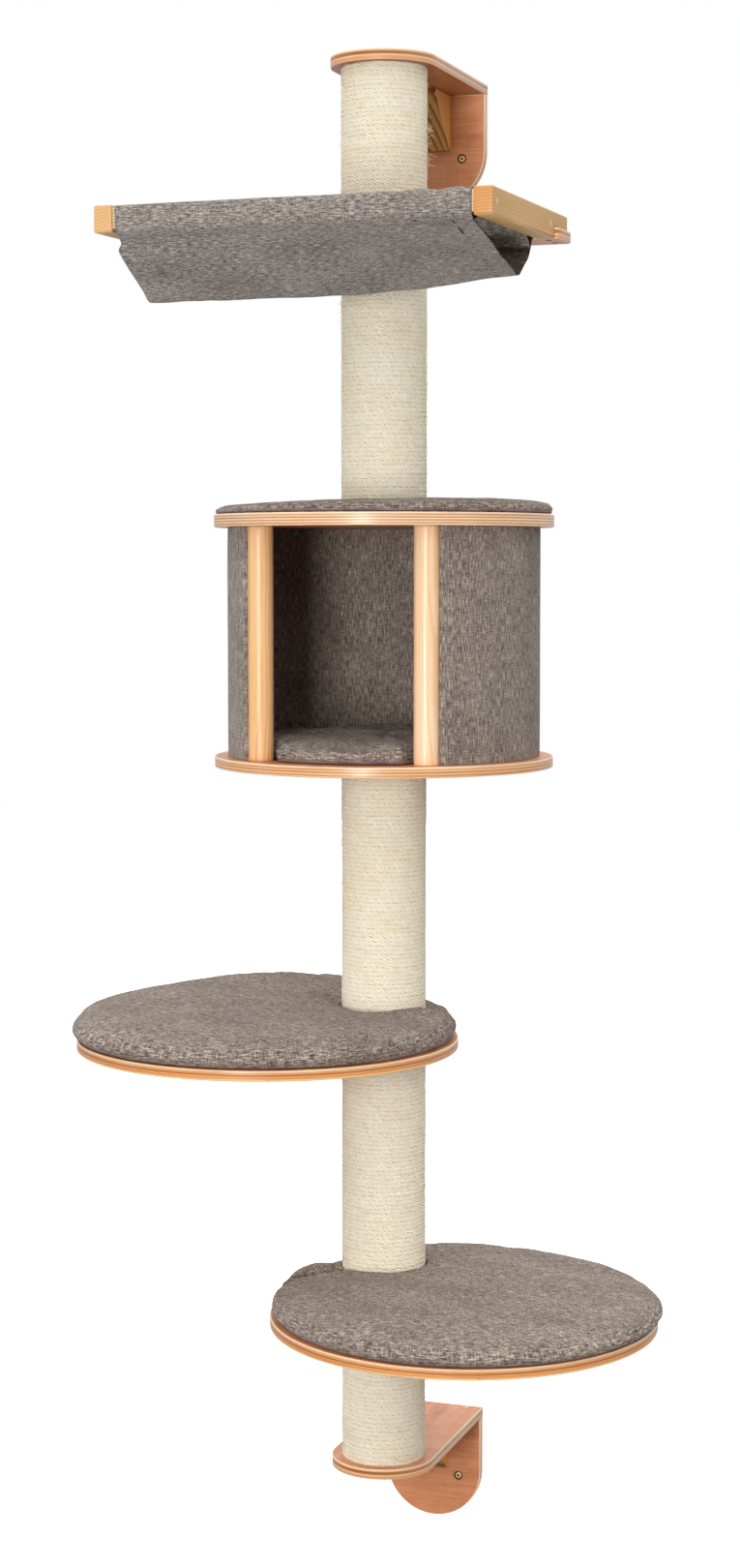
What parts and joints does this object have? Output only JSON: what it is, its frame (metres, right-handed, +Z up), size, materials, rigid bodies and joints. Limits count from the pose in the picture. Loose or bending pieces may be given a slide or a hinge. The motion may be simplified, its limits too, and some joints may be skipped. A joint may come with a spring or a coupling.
{
  "type": "wall mounted cat tree",
  "caption": "Wall mounted cat tree: a rope-wrapped post between two wall brackets carries round cushioned shelves, a drum-shaped cave and a cloth hammock, each set by turning it on the post.",
  "frame": {"origin": "midway between the two wall screw holes of the lower bracket, on the wall plane", "axes": "+Z up along the post, +Y into the wall, +X to the right of somebody facing the wall"},
  "size_m": [0.8319, 0.619, 2.1714],
  "materials": {
    "plywood": "lacquered beech plywood, reddish face, pale laminated edge",
    "pine": "planed pine, clear matt lacquer",
    "dowel_wood": "turned pine, clear gloss varnish",
    "sisal": "wound natural sisal rope",
    "paper_tube": "wound paper tube",
    "steel": "zinc plated",
    "fabric": "warm grey melange woven cloth"
  },
  "bodies": {
    "column": {"upper_bracket_plate": "plywood", "upper_wall_plate": "plywood", "upper_gusset": "pine", "lower_bracket_plate": "plywood", "lower_wall_plate": "plywood", "lower_gusset": "pine", "bracket_screws": "steel", "bracket_bolts": "steel", "cave_bolts": "steel", "bolt_washers": "steel", "insert_nuts": "steel", "joining_studs": "steel", "post_core_1": "paper_tube", "sisal_wrap_1": "sisal", "post_plugs_1": "pine", "post_core_2": "paper_tube", "sisal_wrap_2": "sisal", "post_plugs_2": "pine", "post_core_3": "paper_tube", "sisal_wrap_3": "sisal", "post_plugs_3": "pine", "post_core_4": "paper_tube", "sisal_wrap_4": "sisal", "post_plugs_4": "pine", "post_core_5": "paper_tube", "sisal_wrap_5": "sisal", "post_plugs_5": "pine"},
    "hammock": {"hammock_plate": "plywood", "hammock_batten_left": "pine", "hammock_batten_right": "pine", "hammock_rail_front": "pine", "hammock_rail_rear": "pine", "rail_screws": "steel", "batten_screws": "steel", "hammock_fabric": "fabric"},
    "cave": {"cave_floor_plate": "plywood", "cave_roof_plate": "plywood", "cave_dowel_left": "dowel_wood", "cave_dowel_right": "dowel_wood", "cave_dowel_screws": "steel", "cave_wall_panel": "plywood", "cave_wall_cover": "fabric", "cave_roof_cushion": "fabric", "cave_floor_cushion": "fabric"},
    "upper_shelf": {"upper_shelf_plate": "plywood", "upper_shelf_cushion": "fabric"},
    "lower_shelf": {"lower_shelf_plate": "plywood", "lower_shelf_cushion": "fabric"}
  },
  "joints": [
    {"name": "hammock_swivel", "type": "hinge", "parent": "column", "child": "hammock", "pos_m": [0, -0.25, 1.8345], "axis": [0, 0, 1], "range_deg": [-50, 50]},
    {"name": "cave_swivel", "type": "hinge", "parent": "column", "child": "cave", "pos_m": [0, -0.25, 1.2865], "axis": [0, 0, 1], "range_deg": [-90, 90]},
    {"name": "upper_shelf_swivel", "type": "hinge", "parent": "column", "child": "upper_shelf", "pos_m": [0, -0.25, 0.7215], "axis": [0, 0, 1], "range_deg": [-25, 135]},
    {"name": "lower_shelf_swivel", "type": "hinge", "parent": "column", "child": "lower_shelf", "pos_m": [0, -0.25, 0.3495], "axis": [0, 0, 1], "range_deg": [-137, 23]}
  ]
}
